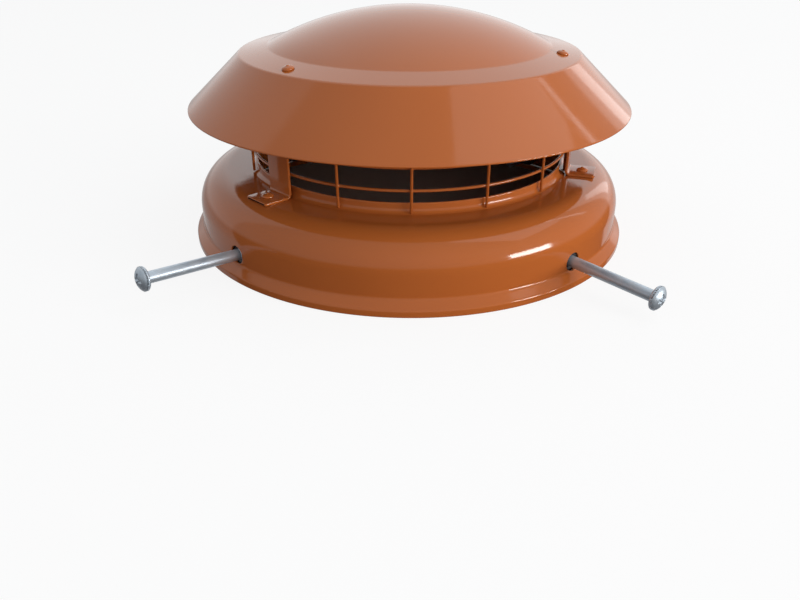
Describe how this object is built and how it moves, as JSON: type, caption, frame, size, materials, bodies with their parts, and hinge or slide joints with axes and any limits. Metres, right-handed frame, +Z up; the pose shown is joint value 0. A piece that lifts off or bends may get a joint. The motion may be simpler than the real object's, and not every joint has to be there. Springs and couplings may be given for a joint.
{
  "type": "chimney cowl",
  "caption": "Bolt-on rain cowl for a round chimney pot: spun skirt and collar, welded mesh guard, brackets, domed hood and clamping screws round the skirt.",
  "frame": {"origin": "on the flue's axis, in the plane where the pot's top edge meets the underside of the shelf", "axes": "+Z up the flue towards the hood; -Y the front, with one bracket 45 degrees to its left; +X the right-hand side"},
  "size_m": [0.2752, 0.2767, 0.1306],
  "materials": {
    "terracotta_paint": "gloss terracotta paint",
    "zinc_plated_steel": "bright zinc plating"
  },
  "bodies": {
    "cowl": {"base": "terracotta_paint", "hood": "terracotta_paint", "mesh_guard": "terracotta_paint", "bracket_front_left": "terracotta_paint", "foot_rivet_front_left": "terracotta_paint", "hood_rivet_front_left": "terracotta_paint", "bracket_right": "terracotta_paint", "foot_rivet_right": "terracotta_paint", "hood_rivet_right": "terracotta_paint", "bracket_back": "terracotta_paint", "foot_rivet_back": "terracotta_paint", "hood_rivet_back": "terracotta_paint", "nut_front_left": "zinc_plated_steel", "nut_front_right": "zinc_plated_steel", "nut_back_right": "zinc_plated_steel", "nut_back_left": "zinc_plated_steel"},
    "clamp_bolt_front_left": {"bolt_front_left": "zinc_plated_steel"},
    "clamp_bolt_front_right": {"bolt_front_right": "zinc_plated_steel"},
    "clamp_bolt_back_right": {"bolt_back_right": "zinc_plated_steel"},
    "clamp_bolt_back_left": {"bolt_back_left": "zinc_plated_steel"}
  },
  "joints": [
    {"name": "bolt_front_left_travel", "type": "slide", "parent": "cowl", "child": "clamp_bolt_front_left", "axis": [0.7233, 0.6864, -0.075], "range_m": [-0.0155, 0.0168]},
    {"name": "bolt_front_right_travel", "type": "slide", "parent": "cowl", "child": "clamp_bolt_front_right", "axis": [-0.6765, 0.7356, 0.0349], "range_m": [-0.0189, 0.0133]},
    {"name": "bolt_back_right_travel", "type": "slide", "parent": "cowl", "child": "clamp_bolt_back_right", "axis": [-0.7253, -0.6882, -0.0175], "range_m": [-0.0198, 0.0124]},
    {"name": "bolt_back_left_travel", "type": "slide", "parent": "cowl", "child": "clamp_bolt_back_left", "axis": [0.6819, -0.7312, 0.0175], "range_m": [-0.0188, 0.0134]}
  ]
}
